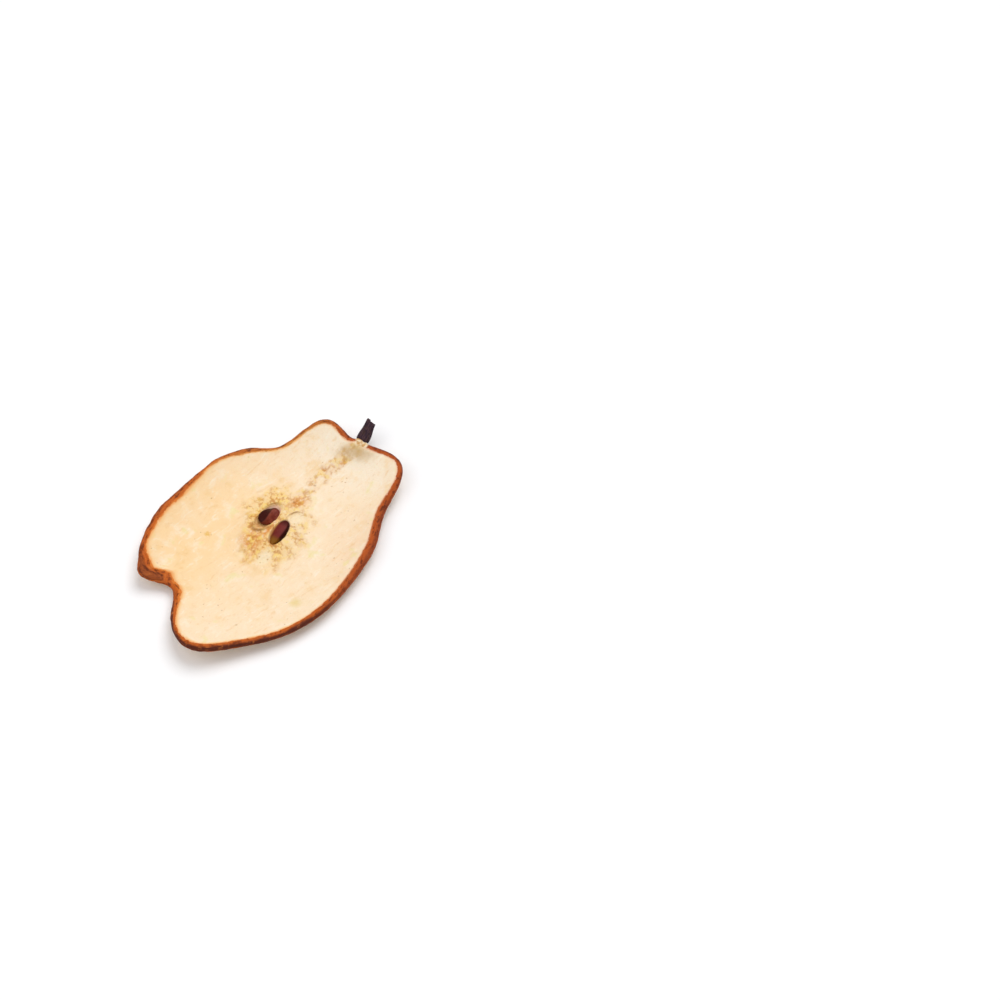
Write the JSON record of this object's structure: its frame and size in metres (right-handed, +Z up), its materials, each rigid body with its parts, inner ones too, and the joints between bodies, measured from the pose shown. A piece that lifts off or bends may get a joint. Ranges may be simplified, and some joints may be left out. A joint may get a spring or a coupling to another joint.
{
  "type": "dried pear slice",
  "caption": "Thin dried slice of pear, cut lengthwise through the core: leathery flesh in a band of peel, with seeds and a stub of stem.",
  "frame": {"origin": "middle of the footprint, on the surface that the slice lies on", "axes": "+X along the fruit's axis from the calyx notch to the stem, +Z up from the surface, +Y to the left of the stem"},
  "size_m": [0.0834, 0.0564, 0.0068],
  "materials": {
    "flesh": "matte dried fruit flesh, cream, with a brown band of peel round its edge",
    "seed": "smooth glossy dark brown seed coat",
    "stem": "rough dry dark stem"
  },
  "bodies": {
    "root": {"pear_slice": "flesh", "seed_left": "seed", "seed_right": "seed", "stem": "stem"}
  },
  "joints": []
}
